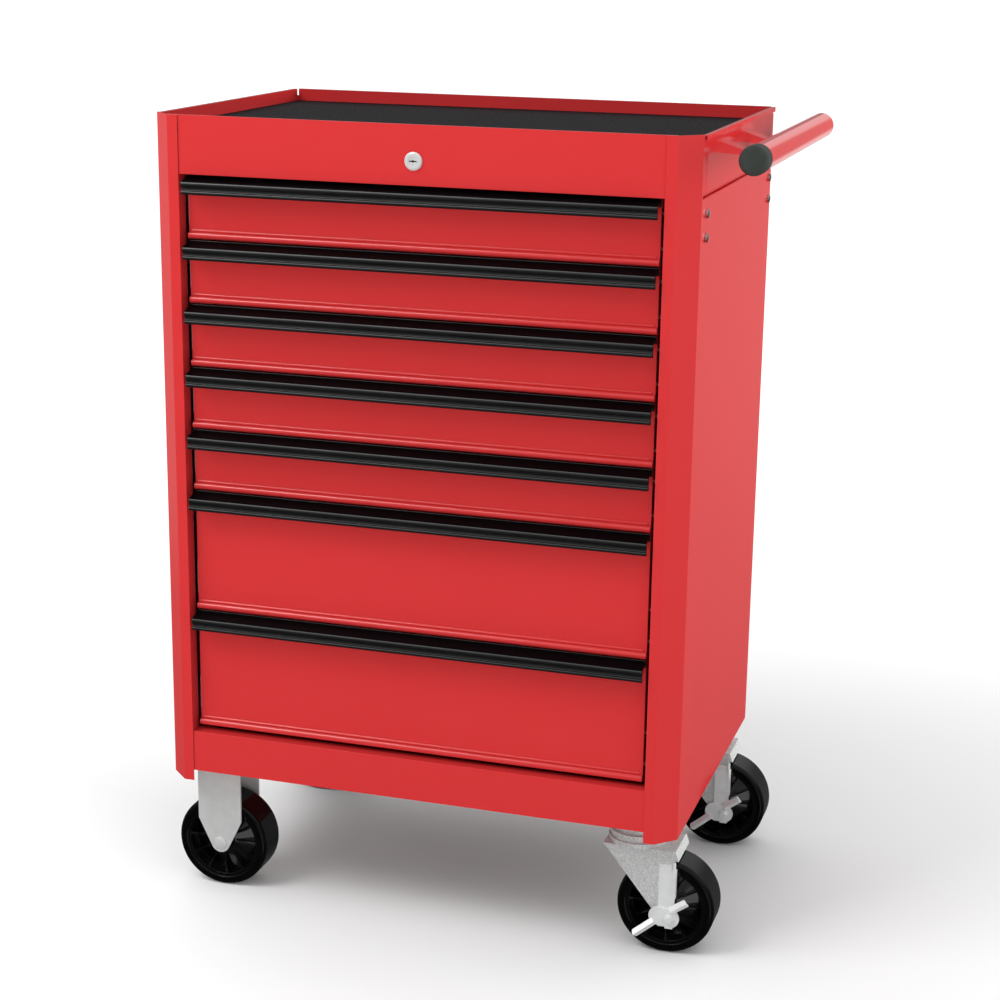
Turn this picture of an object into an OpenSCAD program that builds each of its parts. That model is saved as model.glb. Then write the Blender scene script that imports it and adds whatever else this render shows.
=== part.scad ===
// Rolling tool cabinet: seven drawers, a cam lock, a side push handle and four casters.
// Sizes are in millimetres. The origin is on the floor under the middle of the body.
// The front faces -Y, the handle is on the +X side and +Z is up.

/* [Body] */
// Overall width of the body
body_w = 680; // [620:1:800]
// Overall depth of the body, front strips to back panel
body_d = 465; // [455:1:540]
// Height of the side panels' lower edge above the floor
floor_gap = 163; // [155:1:185]
// Thickness of the body's sheet steel
sheet = 1.2; // [0.8:0.1:1.5]
// Width of the flat strip on the front of each corner post
strip_w = 13.4; // [10:0.2:18]
// Width of the corner post's bevel
bevel_w = 24.5; // [18:0.5:30]
// Depth of the corner post's bevel
bevel_d = 24; // [18:0.5:28]
// Length of the return that folds in behind each front strip
return_d = 19; // [15:0.5:20]
// Height of the front panel that carries the lock
top_panel_h = 71.3; // [60:0.1:90]
// Set-back of the lock panel and kick panel behind the front strips
panel_inset = 1.5; // [0.5:0.1:3]
// Height of the kick panel
kick_h = 54.6; // [40:0.2:70]
// Height of the kick panel's lower edge above the side panels' lower edge
kick_rise = 14; // [8:0.5:20]
// Height of the base plate above the kick panel's lower edge
base_rise = 3; // [1:0.5:6]
// Gap between the lowest drawer and the kick panel
kick_gap = 7; // [4:0.5:12]

/* [Top tray] */
// Height of the front panel's top edge above the mat
lip_h = 17; // [10:0.5:25]
// Drop of the tray's side and back lips below that edge
lip_drop = 1; // [0.5:0.1:3]
// Thickness of the double-walled lips
lip_t = 2.6; // [2.4:0.1:4]
// Reach of the lips' hem outside the body
hem_out = 3; // [2.4:0.1:4]
// Height of the lips' hem
hem_h = 6; // [4:0.5:8]
// Thickness of the tray mat
mat_t = 3; // [2:0.5:5]
// Height of the tray's outer skirt
skirt_h = 67; // [55:1:80]
// Height of the groove between the skirt and the side panel
groove_h = 7; // [4:0.5:10]
// Depth of that groove
groove_d = 4.5; // [4.5:0.5:9]

/* [Drawers] */
// Height of a small drawer's place in the stack
drawer_unit = 79.44; // [74:0.02:90]
// Gap between a drawer front and the corner post
front_gap = 6.5; // [3:0.1:8]
// Depth of the drawer fronts behind the front strips
front_inset = 14; // [8:0.5:16]
// Room between a drawer's box and the back of the body
rear_room = 47.8; // [45:0.2:60]
// Thickness of a drawer's sheet steel
box_sheet = 1; // [0.8:0.1:1.5]
// Radius of the roll along a drawer front's lower edge
roll_r = 4.4; // [3:0.1:5]
// Reach of a pull in front of the drawer's face
pull_d = 22.6; // [18:0.1:26]
// Height of a pull's front
pull_h = 16.6; // [14:0.2:18]
// Wall thickness of a pull
pull_t = 2; // [1.6:0.1:2.5]

/* [Slides] */
// Reach of a drawer slide behind the drawer's box
slide_behind = 28; // [10:0.5:36]
// Thickness of a drawer slide
slide_t = 12.7; // [12:0.1:14]
// Height of a drawer slide
slide_h = 45; // [40:0.5:48]
// Sheet thickness of the rails
rail_t = 1.2; // [1:0.1:1.4]
// Running gap between nested rails
rail_gap = 0.3; // [0.2:0.05:0.4]
// Room between the body's outer face and the back of a slide
side_room = 39; // [38.2:0.1:44]

/* [Lock] */
// Height of the lock below the top edge
lock_drop = 42.6; // [36:0.2:50]
// Diameter of the lock's rim
lock_rim_d = 22; // [18:0.5:26]
// Diameter of the lock's turning plug
plug_d = 11; // [9:0.5:13]
// Length of the crank that lifts the lock bar
crank_r = 9; // [7:0.5:11]

/* [Handle] */
// Diameter of the handle tube
tube_d = 33; // [28:0.5:36]
// Wall thickness of the handle tube
tube_t = 1.5; // [1:0.1:2.5]
// Length of the handle with its end cap
tube_len = 496; // [420:1:520]
// Length of the slip-on cap at the handle's front end
cap_len = 34; // [24:0.5:45]
// Wall thickness of that cap
cap_t = 0.9; // [0.7:0.1:1.5]
// Distance of the tube's axis from the side of the body
tube_out = 55; // [45:0.5:70]
// Height of the tube's axis below the top edge
tube_drop = 28; // [20:0.5:34]
// Set-back of the handle's front end behind the front strips
tube_back = 26.5; // [10:0.5:60]
// Distance of the rear bracket's middle from the back of the body
bracket_back = 30; // [24:0.5:60]
// Distance between the two brackets
bracket_pitch = 150; // [120:0.5:240]

/* [Casters] */
// Diameter of a wheel
wheel_d = 125; // [110:1:127]
// Width of a wheel's tread
wheel_w = 50; // [36:1:54]
// Diameter of an axle
axle_d = 10; // [8:0.5:12]
// Distance of the casters from the body's side faces
caster_in_x = 58; // [56:0.5:90]
// Distance of the front casters from the body's front
caster_in_front = 64; // [50:0.5:90]
// Distance of the rear casters from the body's back
caster_in_back = 59; // [50:0.5:90]
// Offset of a swivel caster's axle from its kingpin
trail = 42; // [30:1:46]
// Sheet thickness of the forks
fork_t = 3; // [2.5:0.1:4]
// Width of a fixed fork's leg
fixed_leg_w = 61; // [50:1:64]

/* [Hidden] */
$fn = 48;
fit = 0.3;
run = 0.05;
weld = 0.1;
half_w = body_w/2;
front_y = -body_d/2;
back_y = body_d/2;
inner_x = half_w - sheet;
open_x = half_w - bevel_w - strip_w;
bevel_y = front_y + bevel_d;
post_tail = 4;
panel_y = front_y + panel_inset;

// Levels, from the floor up
kick_z = floor_gap + kick_rise;
base_z = kick_z + base_rise;
kick_top = kick_z + kick_h;
stack_z = kick_top + kick_gap;
drawer_units = [1, 1, 1, 1, 1, 2, 2];
drawer_count = len(drawer_units);
function units_down_to(n) = n == 0 ? 0 : drawer_units[n - 1] + units_down_to(n - 1);
stack_top = stack_z + drawer_unit*units_down_to(drawer_count);
function place_z(n) = stack_top - drawer_unit*units_down_to(n);
function place_h(n) = drawer_unit*drawer_units[n - 1];
top_z = stack_top + top_panel_h;
side_top = top_z - skirt_h - groove_h;
mat_top = top_z - lip_h;
deck_top = mat_top - mat_t;
deck_z = deck_top - sheet;
lip_top = top_z - lip_drop;
panel_fold = 20;
apron_x = half_w - groove_d;
apron_drop = 8;
side_flange = groove_d - 2;

// Drawers and slides
face_y = front_y + front_inset;
face_back = face_y + sheet;
front_x = open_x - front_gap;
slide_x = half_w - side_room;
box_x = slide_x - slide_t;
box_back = back_y - rear_room;
roll_gap = -0.5;
ledge_r = 1.9;
ledge_in = 4;
box_rise = 13.5;
box_drop = 12;
back_drop = 8;
hem = 4;
front_top_gap = 2;
front_fold = 5;
rail_set = 3;
rail_y = face_back + front_fold + rail_set;
slide_len = box_back + slide_behind - rail_y;
rail_rise = 26;
rail_half = slide_h/2;
mid_half = rail_half - rail_t - rail_gap;
inner_half = mid_half - rail_t - rail_gap;
mid_set = rail_t + 0.8;
rail_mouth = 1.7;
function box_z(n) = place_z(n) + box_rise;
function rail_z(n) = box_z(n) + rail_rise;

// Uprights that carry the slides
upright_t = 1.5;
upright_foot = 25;
upright_face = 25;
upright_top = side_top - apron_drop - 3;
front_foot_set = 38.5;
rear_foot_set = 30.5;
front_foot_y = front_y + front_foot_set;
rear_foot_y = back_y - rear_foot_set;
screw_drop = 18;
screw_pitch = 28;
screw_levels = [side_top - screw_drop, side_top - screw_drop - screw_pitch];
screw_depths = [front_foot_y + upright_foot/2, rear_foot_y + upright_foot/2];
screw_d = 5;

// Lock and lock bar
lock_z = top_z - lock_drop;
barrel_d = lock_rim_d - 3;
barrel_len = 24;
rim_h = 3;
rim_bevel = 1.6;
key_w = 9;
key_t = 1.4;
rod_d = 6;
pin_d = 6;
lift = 2*crank_r*sin(45);
bar_t = 2;
bar_w = 25;
bar_room = 24.3;
bar_y = box_back + bar_room;
crank_t = 3;
pin_gap = 0.4;
catch_w = 18;
catch_rise = 30;
catch_reach = 15;
catch_lip = lift + 0.5;
catch_t = 1.5;
tab_clear = 2;
tab_stand = 5;
tab_y = box_back + tab_stand;
tab_w = 12;
tab_h = 14;
guide_h = 20;
guide_slot = 16;

// Handle
tube_x = half_w + tube_out;
tube_z = top_z - tube_drop;
handle_y = front_y + tube_back;
handle_end = handle_y + tube_len;
cap_r = tube_d/2 + weld + cap_t;
cap_round = 12;
cap_crown = 40;
cap_end = 12;
tube_y = handle_y + cap_end;
plug_depth = 12;
bracket_w = 34;
bracket_t = 3;
saddle_cut = 4;
saddle_rise = 6;
foot_rise = 3;
foot_h = 24;
bracket_spots = [back_y - bracket_back - bracket_pitch, back_y - bracket_back];
foot_low = side_top + groove_h + foot_rise;
foot_high = foot_low + foot_h;
bolt_d = 6;

// Casters
caster_x = half_w - caster_in_x;
caster_ys = [front_y + caster_in_front, back_y - caster_in_back];
axle_z = wheel_d/2;
hub_w = wheel_w + 5;
leg_in = hub_w/2 + 0.5;
leg_out = leg_in + fork_t;
leg_shoulder = 33;
plate_w = 105;
plate_d = 80;
plate_t = 3.5;
plate_z = base_z - plate_t;
hole_x = 42;
hole_y = 30;
caster_bolt_d = 8;
crown_room = 13.5;
crown_top = wheel_d + crown_room + fork_t;
crown_back = 38;
flange_out = 4;
flange_h = 12.5;
race_r = 37.5;
race_h = 10;
race_gap = 0.5;
kingpin_d = 16;
tip_r = 13;
strip_t = 2;
lever_t = 2.5;
stud_d = 8;
stud_dx = 8;
stud_dz = -9.5;

drawer_nodes = [for (n = [1:drawer_count]) each [
  str("drawer_", n), str("pull_", n), str("inner_rails_", n), str("mid_rails_", n)]];

// Shared shapes
module block(low, high) translate(low) cube(high - low);

// A 2D outline of (Y, Z) points drawn out along X, centred on the body's middle
module along_x(length) translate([-length/2, 0, 0]) rotate([90, 0, 90]) linear_extrude(length) children();

// A 2D outline of (X, Z) points drawn out along +Y
module along_y(length) rotate([90, 0, 0]) translate([0, 0, -length]) linear_extrude(length) children();

// A rod along +Y from a point
module rod_y(at, d, length) translate(at) rotate([-90, 0, 0]) cylinder(d = d, h = length);

module both_sides() {
  children();
  mirror([1, 0, 0]) children();
}

// Side panels with their corner posts
bevel_turn = atan2(bevel_w, bevel_d);
bevel_x = half_w - bevel_w;
inner_bevel_y = bevel_y + sheet*tan(bevel_turn/2);
inner_bevel_x = bevel_x - sheet*cos(bevel_turn)/(1 + sin(bevel_turn));

module post_section() polygon([
  [open_x, front_y], [bevel_x, front_y], [half_w, bevel_y], [half_w, bevel_y + post_tail],
  [inner_x, bevel_y + post_tail], [inner_x, inner_bevel_y], [inner_bevel_x, front_y + sheet],
  [open_x, front_y + sheet]]);

module screw_holes() for (y = screw_depths) for (z = screw_levels)
  translate([inner_x - upright_t - 1, y, z]) rotate([0, 90, 0])
    cylinder(d = screw_d + 2*weld, h = sheet + upright_t + 2);

module side_panel() difference() {
  union() {
    translate([0, 0, floor_gap]) linear_extrude(top_z - floor_gap) post_section();
    block([open_x, front_y, kick_z], [open_x + sheet, front_y + return_d, deck_z - fit]);
    block([inner_x, bevel_y + 1, floor_gap], [half_w, back_y - sheet, side_top]);
    block([half_w - panel_fold, back_y - 2*sheet, floor_gap], [half_w, back_y - sheet, side_top]);
    block([half_w - side_flange, bevel_y + post_tail, side_top - sheet], [half_w, back_y - sheet, side_top]);
  }
  screw_holes();
  // Room for the front panel's hem on top of the strip
  block([open_x - 1, front_y - 1, top_z - sheet], [bevel_x, front_y + sheet + 0.5, top_z + 1]);
}

module right_side_panel() color("firebrick") side_panel();
module left_side_panel() color("firebrick") mirror([1, 0, 0]) side_panel();

module back_panel() color("firebrick")
  block([-half_w, back_y - sheet, floor_gap], [half_w, back_y, side_top]);

// Base pan with the kick panel folded up at its front
module base_pan() color("firebrick") difference() {
  union() {
    block([-inner_x + fit, inner_bevel_y + fit, base_z],
      [inner_x - fit, back_y - 2*sheet - fit, base_z + sheet]);
    block([-open_x + fit, panel_y, base_z], [open_x - fit, inner_bevel_y + 1, base_z + sheet]);
    block([-open_x + fit, panel_y, kick_z], [open_x - fit, panel_y + sheet, kick_top]);
    block([-open_x + fit, panel_y, kick_top - sheet], [open_x - fit, panel_y + panel_fold, kick_top]);
    both_sides()
      block([inner_x - fit - sheet, front_foot_y + upright_foot + 5, base_z],
        [inner_x - fit, rear_foot_y - 5, base_z + panel_fold]);
  }
  caster_spots() plate_holes(base_z - 1, base_z + sheet + 1);
}

// Front panel above the drawers, which carries the lock
module front_top_panel() color("firebrick") difference() {
  union() {
    block([-open_x + fit, panel_y, stack_top], [open_x - fit, panel_y + sheet, top_z]);
    block([-open_x + fit, panel_y, mat_top + 4], [open_x - fit, panel_y + lip_t, top_z]);
    block([-open_x + fit, panel_y, stack_top], [open_x - fit, panel_y + panel_fold, stack_top + sheet]);
    both_sides()
      block([open_x - 1, front_y, top_z - sheet], [bevel_x - weld, panel_y + lip_t, top_z]);
  }
  rod_y([0, panel_y - 1, lock_z], barrel_d + 2*weld, sheet + 2);
}

// Top tray: deck, double-walled lips with a hem folded outwards, skirts with a bent front end, and an
// apron behind the groove
skirt_z = side_top + groove_h;
skirt_y = bevel_y + post_tail + 2;
bend_d = 20;
bend_in = 6;
slit_w = 1.5;
slit_h = 9;

module skirt_section(t) polygon([
  [half_w, back_y], [half_w, skirt_y + bend_d], [half_w - bend_in, skirt_y],
  [half_w - bend_in - t, skirt_y], [half_w - t, skirt_y + bend_d + 1], [half_w - t, back_y]]);

module deck_section(gap) polygon([
  [-inner_bevel_x + gap, panel_y + sheet + gap], [inner_bevel_x - gap, panel_y + sheet + gap],
  [inner_x - gap, inner_bevel_y + gap], [inner_x - gap, back_y - sheet],
  [-inner_x + gap, back_y - sheet], [-inner_x + gap, inner_bevel_y + gap]]);

// A lip's outline above the deck: outer wall, inner wall, and the hem from its top, with x outwards from 0
module lip_section() {
  translate([-sheet, deck_z]) square([sheet, lip_top - deck_z]);
  translate([-lip_t, deck_z]) square([sheet, lip_top - deck_z]);
  translate([-lip_t, lip_top - sheet]) square([lip_t + hem_out, sheet]);
  translate([hem_out - sheet, lip_top - hem_h]) square([sheet, hem_h]);
}

module tray_folds() {
  translate([0, 0, deck_z]) linear_extrude(sheet) deck_section(fit);
  both_sides() {
    translate([0, 0, skirt_z]) linear_extrude(deck_z + sheet/2 - skirt_z) skirt_section(sheet);
    translate([half_w, skirt_y, 0]) along_y(back_y - skirt_y) lip_section();
    block([apron_x - sheet, skirt_y + bend_d, skirt_z],
      [half_w - sheet/2, back_y - sheet/2, skirt_z + sheet]);
    block([apron_x - sheet, skirt_y + bend_d, side_top - apron_drop],
      [apron_x, back_y - 2*sheet - 1, skirt_z + sheet]);
  }
  block([-half_w, back_y - sheet, skirt_z], [half_w, back_y, deck_z + sheet]);
  translate([0, back_y, 0]) along_x(2*(half_w - lip_t)) lip_section();
  block([-apron_x, back_y - groove_d - sheet, skirt_z], [apron_x, back_y - sheet/2, skirt_z + sheet]);
  block([-apron_x, back_y - groove_d - sheet, side_top - apron_drop],
    [apron_x, back_y - groove_d, skirt_z + sheet]);
}

// The lips' ends stay apart at the rear corners
module top_tray() color("firebrick") difference() {
  tray_folds();
  both_sides() block([half_w - lip_t - slit_w, back_y - lip_t - slit_w, lip_top - slit_h],
    [half_w + hem_out + 1, back_y + hem_out + 1, top_z]);
}

module tray_mat() color("dimgray") translate([0, 0, deck_top]) linear_extrude(mat_t) intersection() {
  deck_section(2*fit);
  square([2*(half_w - lip_t - fit), 2*(back_y - lip_t - fit)], center = true);
}

// Slide uprights: Z sections, a foot on the side panel and a face that carries the slides
module upright(foot_y, face_low, face_high, leg_y) {
  block([inner_x - upright_t, foot_y, base_z + sheet], [inner_x, foot_y + upright_foot, upright_top]);
  block([slide_x, leg_y, base_z + sheet], [inner_x, leg_y + upright_t, upright_top]);
  block([slide_x, face_low, base_z + sheet], [slide_x + upright_t, face_high, upright_top]);
}

// Room for the nuts of the rear caster bolts at the foot of a rear upright
module nut_notch() block([caster_x + hole_x - 10, rear_foot_y - 1, base_z],
  [caster_x + hole_x + 10, rear_foot_y + upright_t + 1, base_z + sheet + 11]);

module slide_uprights() color("gainsboro") both_sides() {
  difference() {
    upright(front_foot_y, front_foot_y + upright_foot - upright_t,
      front_foot_y + upright_foot - upright_t + upright_face, front_foot_y + upright_foot - upright_t);
    screw_holes();
  }
  difference() {
    upright(rear_foot_y, rear_foot_y + upright_t - upright_face, rear_foot_y + upright_t, rear_foot_y);
    screw_holes();
    nut_notch();
  }
}

// Drawer slides: nested channels, drawn for the right side with their backs at slide_x
module outer_rail_section() {
  translate([slide_x - rail_t, -rail_half]) square([rail_t, slide_h]);
  for (z = [-rail_half, rail_half - rail_t])
    translate([box_x + rail_mouth, z]) square([slide_t - rail_mouth, rail_t]);
}

module mid_rail_section() {
  translate([slide_x - mid_set - rail_t, -mid_half]) square([rail_t, 2*mid_half]);
  for (z = [-mid_half, mid_half - rail_t])
    translate([box_x + rail_mouth, z]) square([slide_t - mid_set - rail_mouth, rail_t]);
}

module inner_rail_section() {
  translate([box_x, -inner_half]) square([rail_t, 2*inner_half]);
  for (z = [-inner_half, inner_half - rail_t])
    translate([box_x, z]) square([slide_t - mid_set - rail_t - 1, rail_t]);
}

module rail_pair(n) both_sides() translate([0, rail_y, rail_z(n)]) along_y(slide_len) children();

module outer_rails() color("silver") for (n = [1:drawer_count]) rail_pair(n) outer_rail_section();
module mid_rails(n) color("silver") rail_pair(n) mid_rail_section();
module inner_rails(n) color("silver") rail_pair(n) inner_rail_section();

// Drawer: front with a ledge and a rolled lower edge, folded box, catch for the lock bar
module drawer_front_section(low, high) {
  translate([face_y, low + roll_r]) square([sheet, high - low - roll_r]);
  translate([face_y - 0.5, low + roll_r]) difference() {
    circle(roll_r);
    circle(roll_r - sheet);
  }
  translate([face_y, low]) square([front_fold + sheet, sheet]);
}

// The bead pressed along a drawer front above its roll
module ledge_section(low) intersection() {
  translate([face_y + 0.4, low + 2.38*roll_r]) circle(ledge_r);
  translate([face_y - ledge_r, low]) square([ledge_r + sheet/2, 4*roll_r]);
}

module drawer(n) color("firebrick") {
  low = place_z(n) + roll_gap;
  front_high = place_z(n) + place_h(n) - front_top_gap;
  bottom = box_z(n);
  high = place_z(n) + place_h(n) - box_drop;
  catch_z = bottom + catch_rise;
  union() {
    along_x(2*front_x) drawer_front_section(low, front_high);
    along_x(2*(front_x - ledge_in)) ledge_section(low);
    both_sides() {
      block([front_x - sheet, face_y, low + 2*roll_r], [front_x, face_back + front_fold, front_high]);
      block([box_x - box_sheet, face_y + 0.2, bottom], [box_x, box_back, high]);
      block([box_x - hem, face_y + 0.2, high - box_sheet], [box_x, box_back, high]);
    }
    block([-box_x, face_y + 0.2, bottom], [box_x, box_back, bottom + box_sheet]);
    block([-box_x, box_back - box_sheet, bottom], [box_x, box_back, high - back_drop]);
    block([-catch_w/2, box_back - box_sheet, catch_z],
      [catch_w/2, box_back + catch_reach, catch_z + catch_t]);
    block([-catch_w/2, box_back + catch_reach - catch_t, catch_z - catch_lip],
      [catch_w/2, box_back + catch_reach, catch_z + catch_t]);
  }
}

// Pull: a nose, a hollowed front and a lip, open below for the fingers, on a flange against the drawer
nose_r = 4;
pull_lip_r = 2.6;
pull_drop = 7.2;
hollow_r = 6.8;
hollow_depth = 2.3;

module pull_section(level) {
  nose_y = face_y - pull_d + nose_r;
  wall_y = face_y - pull_d + hollow_depth;
  nose_z = level - pull_drop - nose_r;
  lip_z = level - pull_drop - pull_h + pull_lip_r;
  polygon([[face_y, level - front_top_gap], [nose_y, nose_z + nose_r], [nose_y, nose_z + nose_r - pull_t],
    [face_y, level - front_top_gap - pull_t]]);
  translate([face_y - pull_t, level - front_top_gap - 9]) square([pull_t, 9]);
  intersection() {
    translate([nose_y, nose_z]) circle(nose_r);
    translate([face_y - pull_d, nose_z - nose_r]) square([hollow_depth + pull_t + 1, 2*nose_r]);
  }
  difference() {
    translate([face_y - pull_d + 0.4, lip_z]) square([hollow_depth + pull_t - 0.4, nose_z - lip_z]);
    translate([wall_y - hollow_r, (nose_z + lip_z)/2]) circle(hollow_r);
  }
  translate([face_y - pull_d + pull_lip_r, lip_z]) circle(pull_lip_r);
}

module pull(n) color("black") along_x(2*front_x) pull_section(place_z(n) + place_h(n));

// Cam lock with its nut, and the plug with the rod and crank that lift the lock bar
module lock_housing() color("silver") difference() {
  union() {
    rod_y([0, panel_y - rim_h, lock_z], lock_rim_d - 2*rim_bevel, rim_h);
    translate([0, panel_y, lock_z]) rotate([90, 0, 0]) cylinder(d = lock_rim_d, h = rim_h - rim_bevel);
    translate([0, panel_y - rim_h + rim_bevel, lock_z]) rotate([90, 0, 0])
      cylinder(d1 = lock_rim_d, d2 = lock_rim_d - 2*rim_bevel, h = rim_bevel);
    rod_y([0, panel_y - 1, lock_z], barrel_d, barrel_len + 1);
    translate([0, panel_y + sheet, lock_z]) rotate([-90, 0, 0]) cylinder(d = barrel_d + 8, h = 5, $fn = 6);
  }
  rod_y([0, panel_y - 5, lock_z], plug_d + 2*run, barrel_len + 10);
}

crank_y = bar_y - fit - crank_t - 2;

module lock_plug() color("silver") translate([0, 0, lock_z]) difference() {
  union() {
    rod_y([0, panel_y - 2.2, 0], plug_d, barrel_len + 5);
    rod_y([0, panel_y, 0], rod_d, crank_y - panel_y + crank_t);
    rotate([0, 45, 0]) {
      block([0, crank_y, -rod_d/2], [crank_r, crank_y + crank_t, rod_d/2]);
      rod_y([crank_r, crank_y, 0], pin_d, bar_y + bar_t + 1 - crank_y);
    }
  }
  block([-key_w/2, panel_y - 3, -key_t/2], [key_w/2, panel_y + 3, key_t/2]);
  rotate([0, 45, 0]) block([-key_t, panel_y - 3, -key_t], [key_t, panel_y + 3, key_t]);
}

// Lock bar with a tab under each drawer's catch
slot_mid = (crank_r*cos(45) + crank_r)/2;
slot_z = lock_z - crank_r*sin(45);

module lock_bar() color("silver") {
  low = box_z(drawer_count);
  difference() {
    union() {
      block([-bar_w/2, bar_y, low], [bar_w/2, bar_y + bar_t, slot_z]);
      block([-bar_w/2, bar_y, slot_z - 12], [slot_mid + 13, bar_y + bar_t, slot_z + 9]);
      for (n = [1:drawer_count]) {
        tab_top = box_z(n) + catch_rise - catch_lip - tab_clear;
        block([-tab_w/2, tab_y, tab_top - tab_h], [tab_w/2, bar_y + bar_t/2, tab_top - tab_h + catch_t]);
        block([-tab_w/2, tab_y, tab_top - tab_h], [tab_w/2, tab_y + catch_t, tab_top]);
      }
    }
    block([crank_r*cos(45) - pin_d/2 - pin_gap, bar_y - 1, slot_z - pin_d/2 - pin_gap],
      [crank_r + pin_d/2 + pin_gap, bar_y + bar_t + 1, slot_z + pin_d/2 + pin_gap]);
  }
}

// Guides on the back panel that hold the lock bar
module lock_guides() color("dimgray") for (n = [2, drawer_count])
  translate([0, 0, place_z(n) + place_h(n) - 12]) linear_extrude(guide_h) difference() {
    translate([-bar_w/2 - 3, bar_y - fit - 2]) square([bar_w + 6, back_y - sheet - bar_y + fit + 2]);
    translate([-bar_w/2 - fit, bar_y - fit]) square([bar_w + 2*fit, bar_t + 2*fit]);
    translate([-guide_slot/2, bar_y - fit - 3]) square([guide_slot, 4]);
    translate([-bar_w/2, bar_y + bar_t + fit + 2]) square([bar_w, back_y - sheet - bar_y - bar_t - fit - 4]);
  }

// Side handle: tube, slip-on front cap and flush rear plug
module handle_tube() color("firebrick") difference() {
  rod_y([tube_x, tube_y, tube_z], tube_d, handle_end - tube_y);
  rod_y([tube_x, tube_y - 1, tube_z], tube_d - 2*tube_t, tube_len);
}

// The front cap's outline, from its open end to its crowned and rounded tip
module cap_section() difference() {
  intersection() {
    translate([0, cap_len - cap_crown]) circle(cap_crown, $fn = 96);
    square([2*cap_r, 2*cap_len]);
    union() {
      square([cap_r, cap_len - cap_round]);
      square([cap_r - cap_round, cap_len]);
      translate([cap_r - cap_round, cap_len - cap_round]) circle(cap_round);
    }
  }
  translate([-1, -1]) square([tube_d/2 + weld + 1, cap_len - cap_end + 1]);
}

module handle_caps() color("black") {
  translate([tube_x, handle_y + cap_len, tube_z]) rotate([90, 0, 0]) rotate_extrude() cap_section();
  rod_y([tube_x, handle_end - plug_depth, tube_z], tube_d - 2*tube_t - 2*weld, plug_depth);
}

// Saddle brackets: a foot on the tray's skirt, an arm and a half shell round the tube
module bracket_section() difference() {
  union() {
    translate([half_w, foot_low]) square([bracket_t, foot_high - foot_low]);
    polygon([[half_w, foot_high - 2*bracket_t], [half_w, foot_high], [tube_x - tube_d/2, tube_z],
      [tube_x - tube_d/4, tube_z - tube_d/2 + 1]]);
    intersection() {
      translate([tube_x, tube_z]) circle(tube_d/2 + weld + bracket_t);
      translate([half_w, tube_z - tube_d]) square([tube_out - saddle_cut, tube_d + saddle_rise]);
    }
  }
  translate([tube_x, tube_z]) circle(tube_d/2 + weld);
}

module bracket_bolt_spots() for (y = bracket_spots) for (dy = [-bracket_w/3, bracket_w/3])
  translate([half_w, y + dy, (foot_low + foot_high)/2 - 3]) rotate([0, 90, 0]) children();

module handle_brackets() color("firebrick") difference() {
  for (y = bracket_spots) translate([0, y - bracket_w/2, 0]) along_y(bracket_w) bracket_section();
  bracket_bolt_spots() translate([0, 0, -1]) cylinder(d = bolt_d + 2*weld, h = bracket_t + 2);
}

// Fasteners: side screws, handle bolts and caster bolts
module pan_head(d, h) rotate_extrude() intersection() {
  translate([0, -1.2*d + h]) circle(1.2*d, $fn = 64);
  square([d/2, h]);
}

module side_screw() {
  pan_head(11, 4);
  translate([0, 0, -sheet - upright_t - 4]) cylinder(d = screw_d, h = sheet + upright_t + 5);
}

module handle_bolt() {
  translate([0, 0, bracket_t]) pan_head(11, 3.5);
  cylinder(d = bolt_d, h = bracket_t + 1);
}

module caster_bolt() {
  translate([0, 0, plate_z - 5.3]) cylinder(d = 15, h = 5.3, $fn = 6);
  translate([0, 0, plate_z - 1]) cylinder(d = caster_bolt_d, h = plate_t + sheet + 9);
  translate([0, 0, base_z + sheet]) cylinder(d = 15, h = 6.5, $fn = 6);
}

module fasteners() color("silver") {
  both_sides() for (y = screw_depths) for (z = screw_levels)
    translate([half_w, y, z]) rotate([0, 90, 0]) side_screw();
  bracket_bolt_spots() handle_bolt();
  caster_spots() for (x = [-hole_x, hole_x]) for (y = [-hole_y, hole_y]) translate([x, y, 0]) caster_bolt();
}

// Casters
module caster_spots() for (x = [-caster_x, caster_x]) for (y = caster_ys)
  translate([x, y, 0]) children();

module plate_holes(low, high) for (x = [-hole_x, hole_x]) for (y = [-hole_y, hole_y])
  translate([x, y, low]) cylinder(d = caster_bolt_d + 2*weld, h = high - low);

module caster_plate() translate([-plate_w/2, -plate_d/2, plate_z]) cube([plate_w, plate_d, plate_t]);

// The point where a line from p touches a circle of radius r about c, on the side given by turn
function touch(p, c, r, turn) = let (v = p - c)
  let (a = atan2(v[1], v[0]) + turn*acos(r/norm(v))) c + r*[cos(a), sin(a)];

module leg_plates() for (y = [-leg_out, leg_in]) translate([0, y, 0]) along_y(fork_t) children();

module fixed_leg_section() {
  shoulder = axle_z + leg_shoulder;
  left = [-fixed_leg_w/2, shoulder];
  right = [fixed_leg_w/2, shoulder];
  polygon([[-fixed_leg_w/2, base_z - plate_t/2], left, touch(left, [0, axle_z], tip_r, 1), [0, axle_z],
    touch(right, [0, axle_z], tip_r, -1), right, [fixed_leg_w/2, base_z - plate_t/2]]);
  translate([0, axle_z]) circle(tip_r);
}

module fixed_fork() difference() {
  union() {
    caster_plate();
    leg_plates() fixed_leg_section();
  }
  plate_holes(plate_z - 1, base_z + 1);
  rod_y([0, -leg_out - 1, axle_z], axle_d + 2*run, 2*leg_out + 2);
}

module fixed_forks() color("silver")
  for (y = caster_ys) translate([-caster_x, y, 0]) fixed_fork();

module fixed_axles() color("silver") for (y = caster_ys) translate([-caster_x, y, axle_z]) {
  rod_y([0, -leg_out, 0], axle_d, 2*leg_out);
  translate([0, -leg_out, 0]) rotate([90, 0, 0]) pan_head(1.8*axle_d, 3);
  translate([0, leg_out, 0]) rotate([-90, 0, 0]) pan_head(1.8*axle_d, 3);
}

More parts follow.
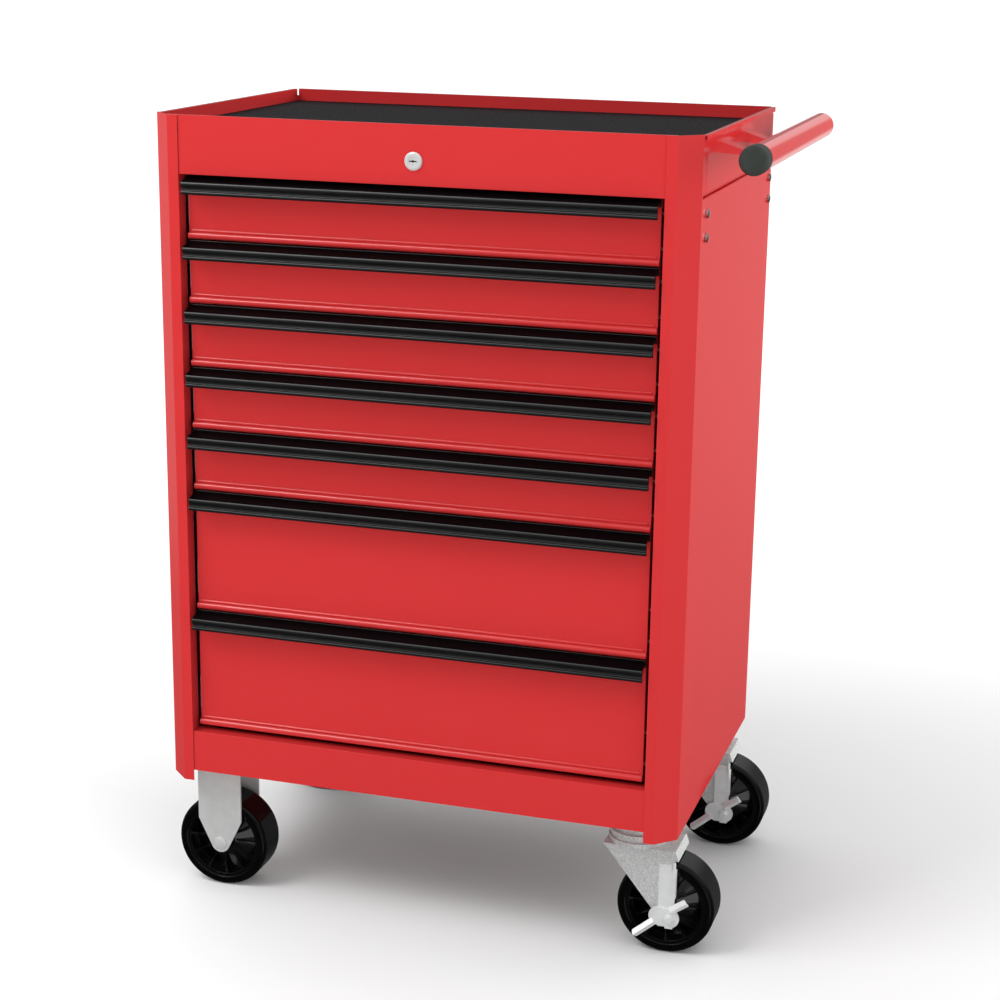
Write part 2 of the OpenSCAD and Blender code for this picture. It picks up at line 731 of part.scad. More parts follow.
// Wheel about its own axle: hub, coned web with ribs, rim and a tread with rounded shoulders
hub_r = 14;
tread_t = 10.5;
rim_t = 5;
rim_out = wheel_d/2 - tread_t;
rim_in = rim_out - rim_t;
shoulder_r = 6;
web_hub = 15;
web_rim = 3;
rib_t = 2.5;
rib_count = 12;
rib_half = wheel_w/2 - 12;

module wheel_half_section() {
  tread_r = wheel_d/2;
  translate([axle_d/2 + run, 0]) square([hub_r - axle_d/2 - run, hub_w/2]);
  polygon([[hub_r - 1, 0], [rim_in + 1, 0], [rim_in + 1, web_rim], [hub_r - 1, web_hub]]);
  translate([rim_in, 0]) square([rim_out - rim_in + 1, wheel_w/2 - 2]);
  translate([rim_out, 0]) square([tread_r - rim_out - shoulder_r, wheel_w/2]);
  translate([rim_out, 0]) square([tread_r - rim_out, wheel_w/2 - shoulder_r]);
  translate([tread_r - shoulder_r, wheel_w/2 - shoulder_r]) circle(shoulder_r);
}

module wheel_section() {
  wheel_half_section();
  mirror([0, 1]) wheel_half_section();
}

module wheel() color("black") rotate([90, 0, 0]) {
  rotate_extrude($fn = 96) wheel_section();
  for (i = [0:rib_count - 1]) rotate([0, 0, i*360/rib_count])
    block([hub_r - 1, -rib_t/2, -rib_half], [rim_in + 1, rib_t/2, rib_half]);
}

module wheel_front_left() translate([-caster_x, caster_ys[0], axle_z]) wheel();
module wheel_rear_left() translate([-caster_x, caster_ys[1], axle_z]) wheel();
module wheel_front_right() translate([caster_x + trail, caster_ys[0], axle_z]) wheel();
module wheel_rear_right() translate([caster_x + trail, caster_ys[1], axle_z]) wheel();

// Swivel top plates: plate, pressed cup over the race, kingpin with its head below the fork's crown
module swivel_plates() color("silver") for (y = caster_ys) translate([caster_x, y, 0]) {
  cup_z = crown_top + race_h + race_gap;
  difference() {
    union() {
      caster_plate();
      translate([0, 0, cup_z]) cylinder(r = race_r - 5, h = plate_z - cup_z + 1);
      translate([0, 0, cup_z]) cylinder(r = race_r - 1, h = 5);
    }
    plate_holes(plate_z - 1, base_z + 1);
  }
  translate([0, 0, crown_top - fork_t - fit - 1])
    cylinder(d = kingpin_d, h = cup_z - crown_top + fork_t + fit + 2);
  translate([0, 0, crown_top - fork_t - fit - 5]) cylinder(d = kingpin_d + 8, h = 5);
}

// Swivel fork: crown with the lower race and a bent end, and two legs slanting from the crown to the axle
module swivel_leg_section() {
  axle = [trail, axle_z];
  back = [-crown_back, crown_top];
  polygon([back, touch(back, axle, tip_r, 1), axle, [trail + tip_r, axle_z], [trail + tip_r, crown_top]]);
  translate(axle) circle(tip_r);
}

module crown_flange() translate([trail + tip_r, -leg_out, crown_top]) along_y(2*leg_out)
  polygon([[-fork_t, 0], [0, 0], [flange_out, -flange_h], [flange_out - fork_t, -flange_h]]);

module swivel_fork() color("silver") difference() {
  union() {
    block([-crown_back, -leg_out, crown_top - fork_t], [trail + tip_r, leg_out, crown_top]);
    leg_plates() swivel_leg_section();
    crown_flange();
    translate([0, 0, crown_top - 0.5]) cylinder(r = race_r, h = race_h*0.6 + 0.5);
    translate([0, 0, crown_top - 0.5]) cylinder(r = race_r - 3, h = race_h + 0.5);
  }
  translate([0, 0, crown_top - fork_t - 1]) cylinder(d = kingpin_d + 2*run, h = fork_t + race_h + 2);
  rod_y([trail, -leg_out - 1, axle_z], axle_d + 2*run, 2*leg_out + 2);
}

module swivel_fork_front() translate([caster_x, caster_ys[0], 0]) swivel_fork();
module swivel_fork_rear() translate([caster_x, caster_ys[1], 0]) swivel_fork();

// Swivel axle: hex head and flush end
module swivel_axle() color("silver") translate([trail, 0, axle_z]) {
  rod_y([0, -leg_out - strip_t, 0], axle_d, 2*leg_out + strip_t);
  translate([0, leg_out, 0]) rotate([-90, 0, 0]) cylinder(d = 1.9*axle_d, h = 6, $fn = 6);
}

module axle_front() translate([caster_x, caster_ys[0], 0]) swivel_axle();
module axle_rear() translate([caster_x, caster_ys[1], 0]) swivel_axle();

// Brake strip: a plate on the fork's front leg with a bent tab at its top, a flange round the leg's edge,
// and the lever's pivot stud with its nut
strip_below = 23;
strip_above = 55;
strip_low = axle_z - strip_below;
strip_high = axle_z + strip_above;
strip_left = -7;
stud_z = axle_z + stud_dz;
nut_h = 3.5;

module brake_strip() color("gainsboro") translate([trail, -leg_out, 0]) {
  difference() {
    union() {
      block([strip_left, -strip_t, strip_low], [tip_r + 1, 0, strip_high]);
      block([tip_r - 2, -strip_t, strip_low], [tip_r + 1, 0, strip_high + 10]);
      block([tip_r - 2, -strip_t - 2, strip_high - 12], [tip_r + 1, 0, strip_high + 10]);
      block([strip_left, -strip_t/2, strip_high - 1], [tip_r - 4, 0, strip_high + 6]);
      block([tip_r + weld, -strip_t, axle_z + hub_r + 3], [tip_r + 2, fork_t + 1, strip_high]);
    }
    rod_y([0, -strip_t - 1, axle_z], axle_d + 2*run, strip_t + 2);
  }
  rod_y([stud_dx, -strip_t - lever_t - 2*fit - nut_h - 2, stud_z], stud_d, lever_t + 2*fit + nut_h + 2.5);
  translate([stud_dx, -strip_t - lever_t - 2*fit, stud_z]) rotate([90, 0, 0])
    cylinder(d = stud_d + 5, h = nut_h, $fn = 6);
}

module brake_strip_front() translate([caster_x, caster_ys[0], 0]) brake_strip();
module brake_strip_rear() translate([caster_x, caster_ys[1], 0]) brake_strip();

// Brake lever: a hub plate with two ridged foot wings along one slanted line, bent outwards
lever_hub_r = 13;
lobe_r = 12.5;
lobe_at = [-13.5, 1.5];
lever_low = -10.6;
lever_tab = [10, 3.5];
lever_tilt = 38;
wing_w = 10;
wing_ridge = 4;
wing_edge = 0.4;
wing_aside = 7;
wing_lift = 10;
wing_starts = [8, 19];
wing_reach = [28, 32];
wing_round = 7;

// A wing of the given reach along X, with a rounded tip
module wing(reach) intersection() {
  rotate([90, 0, 90]) linear_extrude(reach) polygon([
    [-wing_w/2, wing_edge], [0, wing_ridge], [wing_w/2, wing_edge], [wing_w/2, lever_t - wing_edge],
    [0, wing_ridge + lever_t], [-wing_w/2, lever_t - wing_edge]]);
  union() {
    block([-1, -wing_w, -1], [reach - wing_round, wing_w, wing_ridge + lever_t + 1]);
    translate([reach - wing_round, 0, -1]) cylinder(r = wing_round, h = wing_ridge + lever_t + 2);
  }
}

// The upper wing, i = 0, and the lower one, i = 1, beside the stud on the same line
module placed_wing(i) rotate([0, 0, lever_tilt + 180*i])
  translate([wing_starts[i], (1 - 2*i)*wing_aside, 0]) rotate([0, -wing_lift, 0]) wing(wing_reach[i]);

// The hub plate: two round lobes, cut flat below, with a small tab
module lever_plate() {
  difference() {
    union() {
      cylinder(r = lever_hub_r, h = lever_t);
      translate(lobe_at) cylinder(r = lobe_r, h = lever_t);
      block([lobe_at[0], lever_low, 0], [0, lever_hub_r - 1, lever_t]);
    }
    block([-3*lobe_r, lever_low - lobe_r, -1], [2*lever_hub_r, lever_low, lever_t + 1]);
  }
  block([-lever_tab[0]/2, lever_low - lever_tab[1], 0], [lever_tab[0]/2, lever_low + 1, lever_t]);
}

module brake_lever() color("gainsboro")
  translate([trail + stud_dx, -leg_out - strip_t - fit, stud_z]) rotate([90, 0, 0]) difference() {
    union() {
      lever_plate();
      placed_wing(0);
      placed_wing(1);
    }
    translate([0, 0, -1]) cylinder(d = stud_d + 2*run, h = lever_t + 2);
    translate([0, 0, lever_t + fit/2]) cylinder(d = stud_d + 7, h = 3*wing_ridge + lever_t);
  }

module brake_lever_front() translate([caster_x, caster_ys[0], 0]) brake_lever();
module brake_lever_rear() translate([caster_x, caster_ys[1], 0]) brake_lever();

left_side_panel();
right_side_panel();
back_panel();
base_pan();
front_top_panel();
top_tray();
tray_mat();
slide_uprights();
outer_rails();
lock_housing();
lock_plug();
lock_bar();
lock_guides();
handle_tube();
handle_caps();
handle_brackets();
fasteners();
fixed_forks();
fixed_axles();
swivel_plates();
wheel_front_left();
wheel_rear_left();
wheel_front_right();
wheel_rear_right();
swivel_fork_front();
swivel_fork_rear();
axle_front();
axle_rear();
brake_strip_front();
brake_strip_rear();
brake_lever_front();
brake_lever_rear();
for (n = [1:drawer_count]) {
  drawer(n);
  pull(n);
  inner_rails(n);
  mid_rails(n);
}
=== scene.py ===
"""Looks of the rolling tool cabinet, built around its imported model. Lengths are in metres."""
import math

import bpy
from mathutils import Matrix, Vector


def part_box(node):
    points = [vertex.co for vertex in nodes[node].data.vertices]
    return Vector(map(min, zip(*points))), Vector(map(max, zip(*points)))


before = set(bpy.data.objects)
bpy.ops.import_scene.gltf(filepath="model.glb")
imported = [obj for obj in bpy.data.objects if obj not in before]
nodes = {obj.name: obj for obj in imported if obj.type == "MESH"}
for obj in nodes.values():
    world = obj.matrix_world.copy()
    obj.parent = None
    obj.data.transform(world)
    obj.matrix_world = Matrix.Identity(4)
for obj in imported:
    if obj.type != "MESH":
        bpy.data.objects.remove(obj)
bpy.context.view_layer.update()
scene = bpy.context.scene

# The photo's camera, with its lens and sensor in millimetres
CAMERA_PLACE = (0.8303, -2.5656, 1.2475)
CAMERA_YAW = math.radians(17.11)
CAMERA_PITCH = math.radians(15.233)
CAMERA_ROLL = math.radians(0.811)
CAMERA_LENS = 75.709
CAMERA_SENSOR = 36
CAMERA_REACH = 200


def make_camera():
    data = bpy.data.cameras.new("camera")
    data.lens = CAMERA_LENS
    data.sensor_width = CAMERA_SENSOR
    data.sensor_fit = "HORIZONTAL"
    data.clip_end = CAMERA_REACH
    camera = bpy.data.objects.new("camera", data)
    turn = (Matrix.Rotation(CAMERA_YAW, 4, "Z")
            @ Matrix.Rotation(math.pi/2 - CAMERA_PITCH, 4, "X")
            @ Matrix.Rotation(CAMERA_ROLL, 4, "Z"))
    camera.matrix_world = Matrix.Translation(CAMERA_PLACE) @ turn
    scene.collection.objects.link(camera)
    scene.camera = camera


# Materials
# Range that most values of a noise texture lie in
NOISE_LOW = 0.3
NOISE_HIGH = 0.7
# The paint's colour, and the grey of the light that it throws further than the first of two distances
PAINT_RED = (0.655, 0.036, 0.038)
BOUNCE_GREY = (0.085, 0.075, 0.075)
BOUNCE_SHARE = 0.92
BOUNCE_NEAR = 0.08
BOUNCE_FAR = 0.16
# The floor's painted light, a glow, grows with the distance from the middle, and once more towards the
# front.
# Each has its strength and the two distances between which it grows.
FLOOR_GLOW = (0.34, 0.38, 2.4)
FRONT_GLOW = (0.08, 0.10, 0.30)
FRONT_WAY = (-0.25, -0.97, 0)


class Shader:
    """A material with one Principled shader and short ways to add nodes to it."""

    def __init__(self, name):
        self.material = bpy.data.materials.new(name)
        self.material.use_nodes = True
        self.tree = self.material.node_tree
        self.principled = next(n for n in self.tree.nodes if n.type == "BSDF_PRINCIPLED")
        self.place = self.add("ShaderNodeTexCoord").outputs["Object"]

    def add(self, kind, **settings):
        made = self.tree.nodes.new(kind)
        for key, value in settings.items():
            setattr(made, key, value)
        return made

    def link(self, start, end):
        self.tree.links.new(start, end)

    def set(self, **values):
        for key, value in values.items():
            self.principled.inputs[key.replace("_", " ")].default_value = value

    def noise(self, scale, detail, stretch=None):
        """Noise over the object's own coordinates, which can be stretched by a factor for each axis."""
        place = self.place
        if stretch:
            mapping = self.add("ShaderNodeMapping")
            mapping.inputs["Scale"].default_value = stretch
            self.link(self.place, mapping.inputs["Vector"])
            place = mapping.outputs["Vector"]
        made = self.add("ShaderNodeTexNoise")
        made.inputs["Scale"].default_value = scale
        made.inputs["Detail"].default_value = detail
        self.link(place, made.inputs["Vector"])
        return made.outputs["Fac"]

    def cells(self, scale):
        made = self.add("ShaderNodeTexVoronoi")
        made.inputs["Scale"].default_value = scale
        self.link(self.place, made.inputs["Vector"])
        return made

    def ramp(self, value, dark, light, start=NOISE_LOW, end=NOISE_HIGH):
        """Goes from the dark to the light colour while the value goes from start to end."""
        made = self.add("ShaderNodeValToRGB")
        for element, position, colour in zip(made.color_ramp.elements, (start, end), (dark, light)):
            element.position = position
            element.color = (*colour, 1.0)
        self.link(value, made.inputs["Fac"])
        return made.outputs["Color"]

    def span(self, value, low, high, start=NOISE_LOW, end=NOISE_HIGH):
        """Goes from low to high while the value goes from start to end."""
        made = self.add("ShaderNodeMapRange")
        made.inputs["From Min"].default_value = start
        made.inputs["From Max"].default_value = end
        made.inputs["To Min"].default_value = low
        made.inputs["To Max"].default_value = high
        self.link(value, made.inputs["Value"])
        return made.outputs["Result"]

    def bump(self, *layers):
        """Adds each (height, strength, distance) layer to the surface's normal."""
        normal = None
        for height, strength, distance in layers:
            made = self.add("ShaderNodeBump")
            made.inputs["Strength"].default_value = strength
            made.inputs["Distance"].default_value = distance
            self.link(height, made.inputs["Height"])
            if normal:
                self.link(normal, made.inputs["Normal"])
            normal = made.outputs["Normal"]
        self.link(normal, self.principled.inputs["Normal"])

    def bounced(self, colour):
        """Greys the light that the surface throws on what is not close to it."""
        made = self.add("ShaderNodeMix", data_type="RGBA")
        first, second = (socket for socket in made.inputs if socket.type == "RGBA")
        path = self.add("ShaderNodeLightPath")
        far = self.span(path.outputs["Ray Length"], 0.0, BOUNCE_SHARE, BOUNCE_NEAR, BOUNCE_FAR)
        amount = self.add("ShaderNodeMath", operation="MULTIPLY")
        self.link(path.outputs["Is Diffuse Ray"], amount.inputs[0])
        self.link(far, amount.inputs[1])
        self.link(amount.outputs["Value"], made.inputs["Factor"])
        self.link(colour, first)
        second.default_value = (*BOUNCE_GREY, 1)
        return next(socket for socket in made.outputs if socket.type == "RGBA")

    def colour(self, socket):
        self.link(socket, self.principled.inputs["Base Color"])

    def roughness(self, socket):
        self.link(socket, self.principled.inputs["Roughness"])


def shade(colour, factor):
    return tuple(min(1.0, c*factor) for c in colour)


def red_paint(name):
    """Glossy powder coat with a faint orange peel."""
    made = Shader(name)
    made.set(Specular_IOR_Level=0.5)
    paint = made.ramp(made.noise(4.0, 3.0), shade(PAINT_RED, 0.985), shade(PAINT_RED, 1.015))
    made.colour(made.bounced(paint))
    made.roughness(made.span(made.noise(35.0, 3.0), 0.07, 0.11))
    made.bump((made.noise(420.0, 1.0), 0.025, 0.0002))
    return made.material


def pull_black(name, gloss, tone):
    """Black coated extrusion with faint draw lines along its length."""
    made = Shader(name)
    made.set(Specular_IOR_Level=gloss)
    made.colour(made.ramp(made.noise(40.0, 3.0), shade(tone, 0.8), shade(tone, 1.2)))
    made.roughness(made.span(made.noise(1.0, 3.0, stretch=(20, 900, 900)), 0.34, 0.44))
    made.bump((made.noise(1.0, 2.0, stretch=(8, 1500, 1500)), 0.05, 0.0002),
              (made.noise(1800.0, 1.0), 0.04, 0.0002))
    return made.material


def rubber_mat(name):
    """Dark grey mat with a fine pebbled face."""
    made = Shader(name)
    made.set(Specular_IOR_Level=0.05)
    made.colour(made.ramp(made.noise(30.0, 4.0), (0.0045, 0.0045, 0.0058), (0.0065, 0.0065, 0.0080)))
    made.roughness(made.span(made.noise(250.0, 2.0), 0.62, 0.78))
    made.bump((made.cells(420.0).outputs["Distance"], 0.35, 0.0006), (made.noise(90.0, 2.0), 0.1, 0.0005))
    return made.material


def spangled_zinc(name):
    """Hot-dip zinc: crystals of different tone and gloss."""
    made = Shader(name)
    made.set(Metallic=0.35)
    mix = made.add("ShaderNodeMix", data_type="FLOAT")
    mix.inputs["Factor"].default_value = 0.35
    made.link(made.cells(900.0).outputs["Color"], mix.inputs["A"])
    made.link(made.noise(1900.0, 2.0), mix.inputs["B"])
    tone = mix.outputs["Result"]
    made.colour(made.ramp(tone, (0.44, 0.45, 0.45), (0.92, 0.93, 0.92), 0.15, 0.85))
    made.roughness(made.span(tone, 0.34, 0.55, 0.1, 0.9))
    made.bump((tone, 0.12, 0.0004))
    return made.material


def smooth_zinc(name, colour):
    """Plated steel with faint marks."""
    made = Shader(name)
    made.set(Metallic=0.3)
    made.colour(made.ramp(made.noise(70.0, 4.0), shade(colour, 0.95), shade(colour, 1.05)))
    made.roughness(made.span(made.noise(300.0, 3.0), 0.36, 0.48))
    made.bump((made.noise(1100.0, 2.0), 0.05, 0.0002))
    return made.material


def rolled_steel(name):
    """Zinc plated slide rails with lines along their length."""
    made = Shader(name)
    made.set(Metallic=0.9)
    lines = made.noise(1.0, 3.0, stretch=(900, 6, 900))
    made.colour(made.ramp(lines, (0.42, 0.43, 0.44), (0.56, 0.57, 0.58)))
    made.roughness(made.span(lines, 0.26, 0.40))
    made.bump((lines, 0.06, 0.0002))
    return made.material


def polished_chrome(name):
    made = Shader(name)
    made.set(Metallic=1.0)
    made.colour(made.ramp(made.noise(200.0, 3.0), (0.42, 0.42, 0.41), (0.52, 0.52, 0.51)))
    made.roughness(made.span(made.noise(500.0, 3.0), 0.12, 0.22))
    made.bump((made.noise(1500.0, 2.0), 0.03, 0.0001))
    return made.material


def satin_nickel(name):
    """Pale lock metal with fine marks."""
    made = Shader(name)
    made.set(Metallic=0.35)
    marks = made.noise(1.0, 3.0, stretch=(700, 60, 700))
    made.colour(made.ramp(marks, (0.74, 0.74, 0.73), (0.84, 0.84, 0.83)))
    made.roughness(made.span(marks, 0.30, 0.42))
    made.bump((marks, 0.05, 0.0001))
    return made.material


def moulded_black_and_shade(name, tone, gloss, low, high):
    """Black moulded plastic with a fine spark-eroded grain, and a roughness from low to high; the key
    slot's painted shade uses it too.
    """
    made = Shader(name)
    made.set(Specular_IOR_Level=gloss)
    made.colour(made.ramp(made.noise(50.0, 3.0), shade(tone, 0.85), shade(tone, 1.15)))
    made.roughness(made.span(made.noise(400.0, 2.0), low, high))
    made.bump((made.noise(2200.0, 2.0), 0.08, 0.0002))
    return made.material


def tread_rubber(name):
    """Wheel tread: dark rubber with turning marks."""
    made = Shader(name)
    made.set(Specular_IOR_Level=0.16)
    marks = made.noise(1.0, 2.0, stretch=(30, 1200, 30))
    made.colour(made.ramp(made.noise(120.0, 4.0), (0.0016, 0.0016, 0.0018), (0.0028, 0.0028, 0.0030)))
    made.roughness(made.span(marks, 0.09, 0.15))
    made.bump((marks, 0.03, 0.0002), (made.noise(900.0, 2.0), 0.02, 0.0001))
    return made.material


def pale_floor(name):
    """White floor with painted light: a glow that grows away from the object."""
    made = Shader(name)
    made.set(Specular_IOR_Level=0.2)
    made.set(Emission_Color=(1, 1, 1, 1))
    made.colour(made.ramp(made.noise(0.7, 3.0), (0.955, 0.955, 0.955), (0.975, 0.975, 0.975)))
    made.roughness(made.span(made.noise(8.0, 3.0), 0.55, 0.65))
    away = made.add("ShaderNodeVectorMath", operation="LENGTH")
    made.link(made.place, away.inputs[0])
    before = made.add("ShaderNodeVectorMath", operation="DOT_PRODUCT")
    made.link(made.place, before.inputs[0])
    before.inputs[1].default_value = FRONT_WAY
    glow = made.add("ShaderNodeMath", operation="ADD")
    made.link(made.span(away.outputs["Value"], 0.0, *FLOOR_GLOW), glow.inputs[0])
    made.link(made.span(before.outputs["Value"], 0.0, *FRONT_GLOW), glow.inputs[1])
    made.link(glow.outputs["Value"], made.principled.inputs["Emission Strength"])
    return made.material


RED = red_paint("red_paint")
PULL = pull_black("pull_black", 0.6, (0.0054, 0.0056, 0.0058))
# Painted shade: a darker, less glossy copy of the pull's black for the tops of the pulls
PULL_TOP_SHADE = pull_black("pull_top_painted_shade", 0.02, (0.0020, 0.0017, 0.0022))
MAT = rubber_mat("tray_mat")
SPANGLE = spangled_zinc("spangled_zinc")
ZINC = smooth_zinc("smooth_zinc", (0.68, 0.69, 0.68))
BRIGHT_ZINC = smooth_zinc("bright_zinc", (0.88, 0.89, 0.89))
RAIL = rolled_steel("slide_steel")
CHROME = polished_chrome("chrome")
NICKEL = satin_nickel("lock_nickel")
# Painted shade: near-black for the walls and floor of the key slot
KEY_SLOT_SHADE = moulded_black_and_shade("key_slot_painted_shade", (0.012, 0.012, 0.012), 0.3, 0.5, 0.6)
CAP = moulded_black_and_shade("black_plastic", (0.040, 0.046, 0.041), 0.08, 0.6, 0.7)
WHEEL = moulded_black_and_shade("wheel_black", (0.0015, 0.0015, 0.0016), 0.8, 0.10, 0.16)
TREAD = tread_rubber("tread_rubber")
FLOOR = pale_floor("floor")

# Nodes that are not red
NODE_MATERIALS = {
    "tray_mat": MAT, "slide_uprights": RAIL, "outer_rails": RAIL, "inner_rails": RAIL, "mid_rails": RAIL,
    "lock_bar": RAIL, "lock_housing": NICKEL, "lock_plug": NICKEL, "lock_guides": CAP, "handle_caps": CAP,
    "fasteners": CHROME, "fixed_forks": ZINC, "fixed_axles": ZINC, "swivel_plates": SPANGLE,
    "swivel_fork": SPANGLE, "axle": BRIGHT_ZINC, "brake_strip": BRIGHT_ZINC, "brake_lever": BRIGHT_ZINC,
    "wheel": WHEEL, "pull": PULL,
}
# Width of the rounded edges on each kind of node, and on the others
EDGE_WIDTHS = {
    "tray_mat": 0.0006, "lock_housing": 0.0005, "lock_plug": 0.0003, "handle_caps": 0.0008,
    "fasteners": 0.0003, "fixed_forks": 0.0006, "fixed_axles": 0.0004, "swivel_plates": 0.0007,
    "swivel_fork": 0.0009, "axle": 0.0004, "brake_strip": 0.0005, "brake_lever": 0.0005, "wheel": 0.001,
    "pull": 0.0003, "handle_tube": 0.0004, "top_tray": 0.0007, "front_top_panel": 0.0012,
    "base_pan": 0.0009, "left_side_panel": 0.001, "right_side_panel": 0.001, "handle_brackets": 0.0007,
}
OTHER_EDGE = 0.0005
# Corners closer than this are one, flatter folds are no edge, and sharper ones are rounded
WELD_REACH = 0.00001
FLAT_ANGLE = math.radians(0.5)
SHARP_ANGLE = math.radians(32)
EDGE_SEGMENTS = 2

# Inner radius of a wheel's tread
TREAD_INNER = 0.0522
# A face is on the top of a pull if its normal rises more than this
TOP_RISE = 0.6
# The key slot's walls and floor: their depths behind the front of the housing, and reach from the middle
SLOT_FRONT = 0.0009
SLOT_BACK = 0.0065
SLOT_REACH = 0.0048


def of_kind(table, name, default):
    """The entry for a node, by its name or by the start of its name."""
    if name in table:
        return table[name]
    return next((value for kind, value in table.items() if name.startswith(kind + "_")), default)


def round_edges(obj, width):
    """Joins the split corners of an imported node, then rounds its sharp edges."""
    weld = obj.modifiers.new("weld", "WELD")
    weld.merge_threshold = WELD_REACH
    flatten = obj.modifiers.new("flatten", "DECIMATE")
    flatten.decimate_type = "DISSOLVE"
    flatten.angle_limit = FLAT_ANGLE
    bevel = obj.modifiers.new("bevel", "BEVEL")
    bevel.width = width
    bevel.segments = EDGE_SEGMENTS
    bevel.limit_method = "ANGLE"
    bevel.angle_limit = SHARP_ANGLE
    bevel.use_clamp_overlap = True
    bevel.harden_normals = False
    smooth = obj.modifiers.new("normals", "WEIGHTED_NORMAL")
    smooth.keep_sharp = False


def dress_nodes():
    for name, obj in nodes.items():
        obj.data.materials.clear()
        obj.data.materials.append(of_kind(NODE_MATERIALS, name, RED))
        round_edges(obj, of_kind(EDGE_WIDTHS, name, OTHER_EDGE))
        obj.data.shade_smooth()


def paint_faces(obj, material, chosen):
    """Gives a second material to the faces that are chosen."""
    obj.data.materials.append(material)
    for face in obj.data.polygons:
        if chosen(face):
            face.material_index = 1


def split_wheels():
    """The outer ring of each wheel is its tread."""
    for name, obj in nodes.items():
        if not name.startswith("wheel_"):
            continue
        low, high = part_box(name)
        middle = (low + high)/2
        paint_faces(obj, TREAD, lambda face: (face.center - middle).xz.length > TREAD_INNER)


def paint_pull_top_shade():
    """Painted shade: the top of each pull gets a darker, less glossy copy of the pull's black than its
    front.
    """
    for name, obj in nodes.items():
        if name.startswith("pull_"):
            paint_faces(obj, PULL_TOP_SHADE, lambda face: face.normal.z > TOP_RISE)


def paint_key_slot_shade():
    """Painted shade: the walls and floor of the plug's key slot get a near-black material."""
    low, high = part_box("lock_housing")
    middle_z = (low.z + high.z)/2

    def in_slot(face):
        x, y, z = face.center
        return SLOT_FRONT < y - low.y < SLOT_BACK and math.hypot(x, z - middle_z) < SLOT_REACH

    paint_faces(nodes["lock_plug"], KEY_SLOT_SHADE, in_slot)


# Floor and light
FLOOR_HALF = 60
FLOOR_DROP = 0.0002
LIGHT_TARGET = (0, 0, 0.55)
KEY_LIGHT = {"place": (-2.1, -2.1, 3.9), "size": (2.0, 2.0), "watts": 76}
SIDE_LIGHT = {"place": (2.6, 1.7, 1.0), "size": (2.2, 1.8), "watts": 88}
# The studio's brightness at heights of a ray from straight down, -1, to straight up, 1
STUDIO_LEVELS = ((-1.0, 0.05), (-0.42, 0.09), (-0.24, 0.18), (-0.11, 0.23), (0.06, 0.26), (0.20, 0.35),
                 (0.40, 0.95), (1.0, 1.0))
STUDIO_STRENGTH = 0.95
# Past the range of a ray's X, Y and Z: a card has no edge there
OPEN = 2
# Bright and dark cards round the studio: level, then the span of a ray's X, Y and Z that each covers
CARDS = ((0.80, (-0.5, 0.11), (0.3, OPEN), (-0.24, 0.35)),
         (0.25, (-OPEN, -0.10), (0.5, OPEN), (0.03, 0.20)),
         (0.34, (-OPEN, -0.6), (0.15, 0.6), (-0.28, 0.3)),
         (0.03, (-OPEN, 0.06), (-OPEN, -0.3), (-0.6, -0.05)),
         (1.0, (0.12, 0.6), (-OPEN, -0.1), (-0.5, -0.05)))
CARD_EDGE = 0.03


def make_floor():
    data = bpy.data.meshes.new("floor")
    corners = [(x*FLOOR_HALF, y*FLOOR_HALF, 0) for x, y in ((-1, -1), (1, -1), (1, 1), (-1, 1))]
    data.from_pydata(corners, [], [(0, 1, 2, 3)])
    floor = bpy.data.objects.new("floor", data)
    floor.location.z = -FLOOR_DROP
    data.materials.append(FLOOR)
    floor.visible_glossy = False
    scene.collection.objects.link(floor)
    return floor


def area_light(name, place, size, watts):
    data = bpy.data.lights.new(name, "AREA")
    data.shape = "RECTANGLE"
    data.size, data.size_y = size
    data.energy = watts
    light = bpy.data.objects.new(name, data)
    light.location = place
    light.rotation_euler = (Vector(LIGHT_TARGET) - Vector(place)).to_track_quat("-Z", "Y").to_euler()
    scene.collection.objects.link(light)
    return light


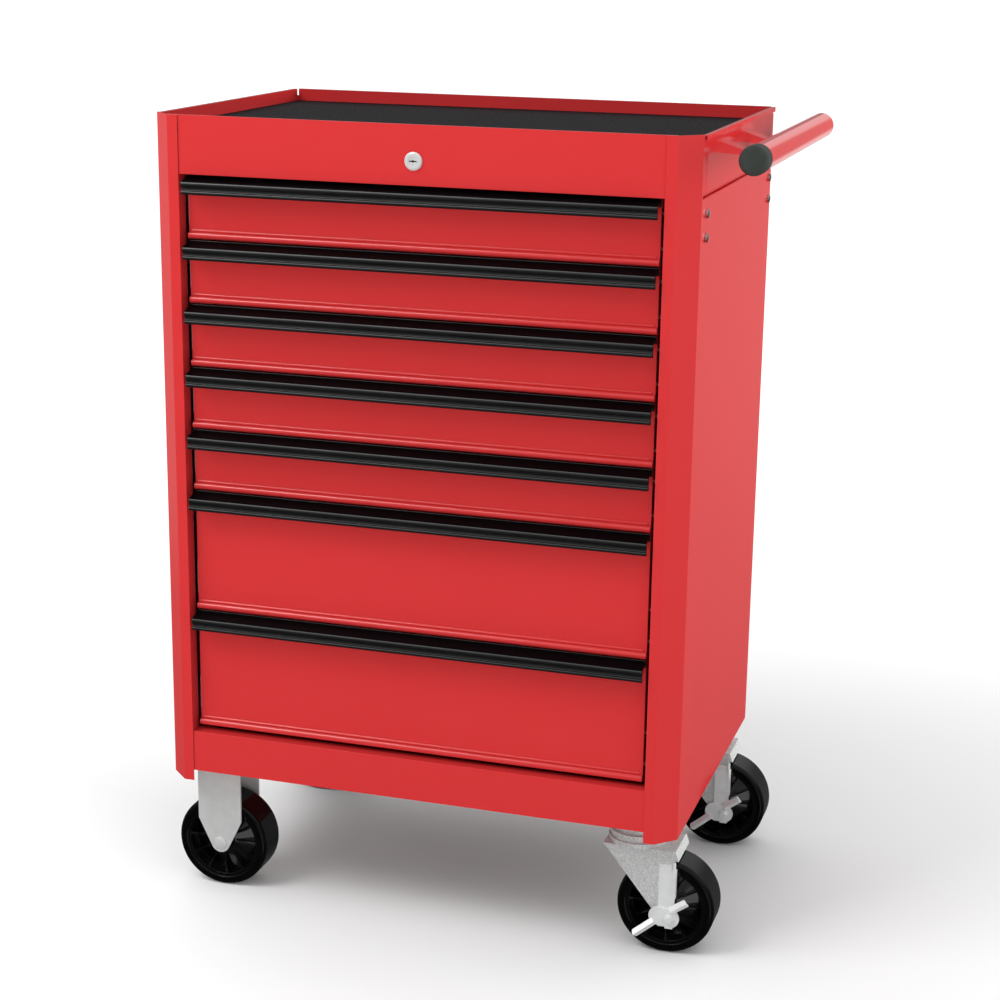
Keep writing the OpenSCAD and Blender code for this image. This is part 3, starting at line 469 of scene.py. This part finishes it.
class Studio:
    """The world's shader: a bright ceiling, a dark lower half and cards, behind a white backdrop."""

    def __init__(self):
        self.world = bpy.data.worlds.new("studio")
        self.world.use_nodes = True
        self.tree = self.world.node_tree
        axes = self.tree.nodes.new("ShaderNodeSeparateXYZ")
        self.link(self.tree.nodes.new("ShaderNodeTexCoord").outputs["Generated"], axes.inputs["Vector"])
        self.axes = [axes.outputs[axis] for axis in "XYZ"]

    def link(self, start, end):
        self.tree.links.new(start, end)

    def rise(self, value, start, end):
        made = self.tree.nodes.new("ShaderNodeMapRange")
        made.interpolation_type = "SMOOTHSTEP"
        made.inputs["From Min"].default_value = start
        made.inputs["From Max"].default_value = end
        self.link(value, made.inputs["Value"])
        return made.outputs["Result"]

    def times(self, first, second):
        made = self.tree.nodes.new("ShaderNodeMath")
        made.operation = "MULTIPLY"
        self.link(first, made.inputs[0])
        self.link(second, made.inputs[1])
        return made.outputs["Value"]

    def card(self, level, brightness, spans):
        """Puts a soft-edged card of this brightness over what is behind it."""
        cover = None
        for axis, (low, high) in zip(self.axes, spans):
            for edge, side in ((low, 1), (high, -1)):
                if abs(edge) == OPEN:
                    continue
                step = self.rise(axis, edge - side*CARD_EDGE, edge + side*CARD_EDGE)
                cover = self.times(cover, step) if cover else step
        made = self.tree.nodes.new("ShaderNodeMix")
        made.data_type = "FLOAT"
        made.inputs["B"].default_value = brightness
        self.link(cover, made.inputs["Factor"])
        self.link(level, made.inputs["A"])
        return made.outputs["Result"]

    def levels(self):
        """Brightness by the height of a ray."""
        made = self.tree.nodes.new("ShaderNodeValToRGB")
        elements = made.color_ramp.elements
        while len(elements) < len(STUDIO_LEVELS):
            elements.new(0.5)
        for element, (place, level) in zip(elements, STUDIO_LEVELS):
            element.position = (place + 1)/2
            element.color = (level, level, level, 1)
        height = self.tree.nodes.new("ShaderNodeMapRange")
        height.inputs["From Min"].default_value = -1
        self.link(self.axes[2], height.inputs["Value"])
        self.link(height.outputs["Result"], made.inputs["Fac"])
        return made.outputs["Color"]


def make_world():
    made = Studio()
    level = made.levels()
    for brightness, *spans in CARDS:
        level = made.card(level, brightness, spans)
    studio = made.tree.nodes["Background"]
    studio.inputs["Strength"].default_value = STUDIO_STRENGTH
    made.link(level, studio.inputs["Color"])
    backdrop = made.tree.nodes.new("ShaderNodeBackground")
    backdrop.inputs["Color"].default_value = (1, 1, 1, 1)
    choice = made.tree.nodes.new("ShaderNodeMixShader")
    made.link(made.tree.nodes.new("ShaderNodeLightPath").outputs["Is Camera Ray"], choice.inputs["Fac"])
    made.link(studio.outputs["Background"], choice.inputs[1])
    made.link(backdrop.outputs["Background"], choice.inputs[2])
    made.link(choice.outputs["Shader"], made.tree.nodes["World Output"].inputs["Surface"])
    scene.world = made.world


def make_light(floor):
    area_light("key", **KEY_LIGHT)
    side = area_light("side", **SIDE_LIGHT)
    side.visible_glossy = False
    # The side light shows the object's side and leaves the floor's shadow alone
    unlit = bpy.data.collections.new("unlit_by_side")
    unlit.objects.link(floor)
    unlit.collection_objects[0].light_linking.link_state = "EXCLUDE"
    side.light_linking.receiver_collection = unlit
    scene.view_settings.view_transform = "Standard"


make_camera()
dress_nodes()
split_wheels()
paint_pull_top_shade()
paint_key_slot_shade()
make_world()
make_light(make_floor())
